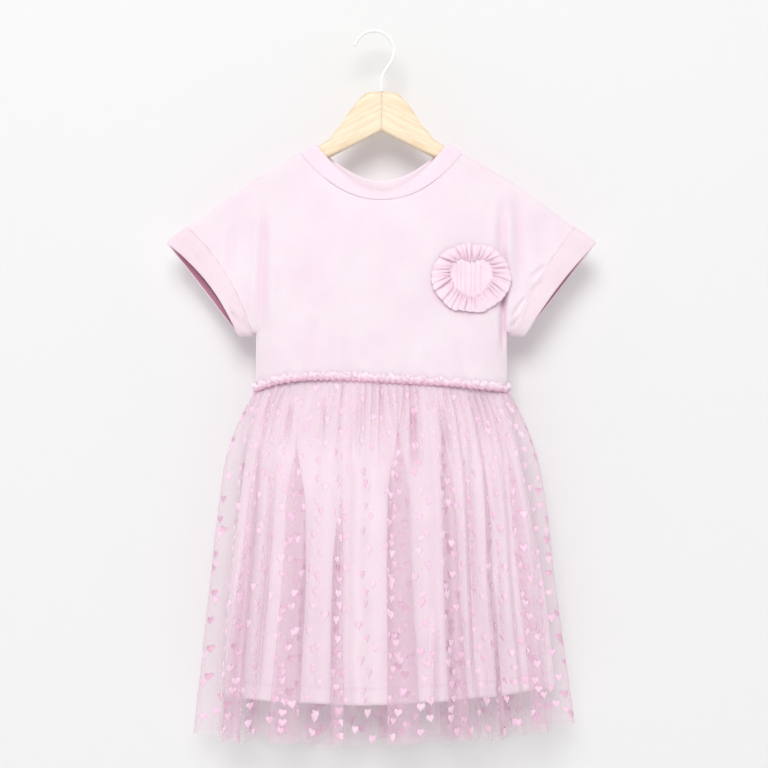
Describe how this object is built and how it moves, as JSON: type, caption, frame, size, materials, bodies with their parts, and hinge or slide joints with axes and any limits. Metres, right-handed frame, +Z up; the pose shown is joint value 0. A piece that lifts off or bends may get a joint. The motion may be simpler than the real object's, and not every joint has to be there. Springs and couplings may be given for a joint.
{
  "type": "toddler party dress on a hanger",
  "caption": "Short-sleeved child's dress with a ruffled heart pocket and a gathered net skirt over a lining, hung flat on a wooden hanger.",
  "frame": {"origin": "the top of the inside of the hook's bow, where it bears on a rail or a peg", "axes": "+Z up, +X to the right of somebody who looks at the dress's front, and the front faces -Y"},
  "size_m": [0.4634, 0.104, 0.7734],
  "materials": {
    "jersey": "matt pale pink cotton jersey",
    "rib": "matt pale pink ribbed knit",
    "frill": "gathered pink net and jersey",
    "lining": "matt pale pink jersey lining",
    "net": "see-through pink net with flocked hearts",
    "wood": "clear varnished light wood",
    "hook_wire": "white painted steel wire"
  },
  "bodies": {
    "root": {"bodice_front": "jersey", "bodice_back": "jersey", "neck_band": "rib", "cuff_left": "jersey", "cuff_right": "jersey", "pocket_heart": "jersey", "pocket_ruffle": "frill", "waist_frill": "frill", "underskirt_front": "lining", "underskirt_back": "lining", "overskirt_front": "net", "overskirt_back": "net", "hanger_arm_left": "wood", "hanger_arm_right": "wood", "hook": "hook_wire"}
  },
  "joints": []
}
